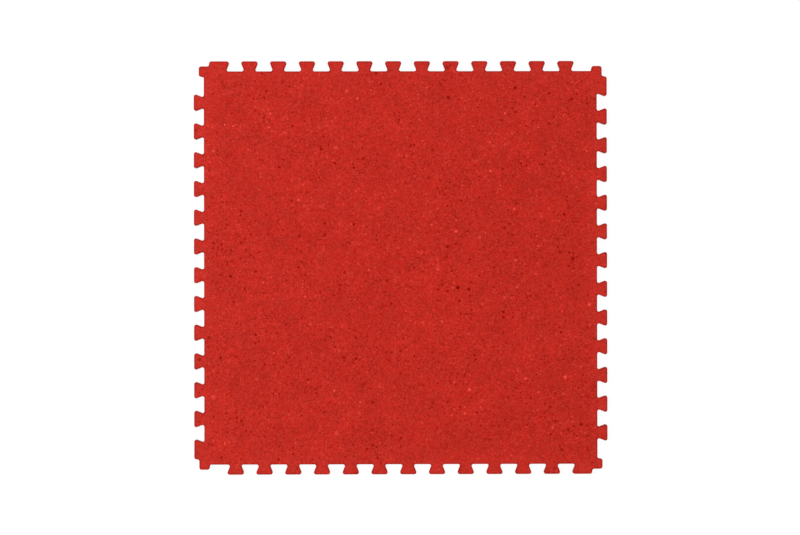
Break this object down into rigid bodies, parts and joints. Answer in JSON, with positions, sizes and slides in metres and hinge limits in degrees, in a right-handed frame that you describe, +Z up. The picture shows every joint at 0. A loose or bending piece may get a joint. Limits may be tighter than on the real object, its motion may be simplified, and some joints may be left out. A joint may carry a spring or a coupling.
{
  "type": "interlocking vinyl floor tile",
  "caption": "Square flat vinyl floor tile with dovetail teeth and sockets along all four sides that lock it to the same tile on each side.",
  "frame": {"origin": "centre of the underside, on the floor", "axes": "+Z up through the thickness, +X and +Y square to the right and back edges, as the picture shows them with +Y towards its top"},
  "size_m": [0.5124, 0.5124, 0.007],
  "materials": {
    "vinyl": "satin"
  },
  "bodies": {
    "root": {"floor_tile": "vinyl"}
  },
  "joints": []
}
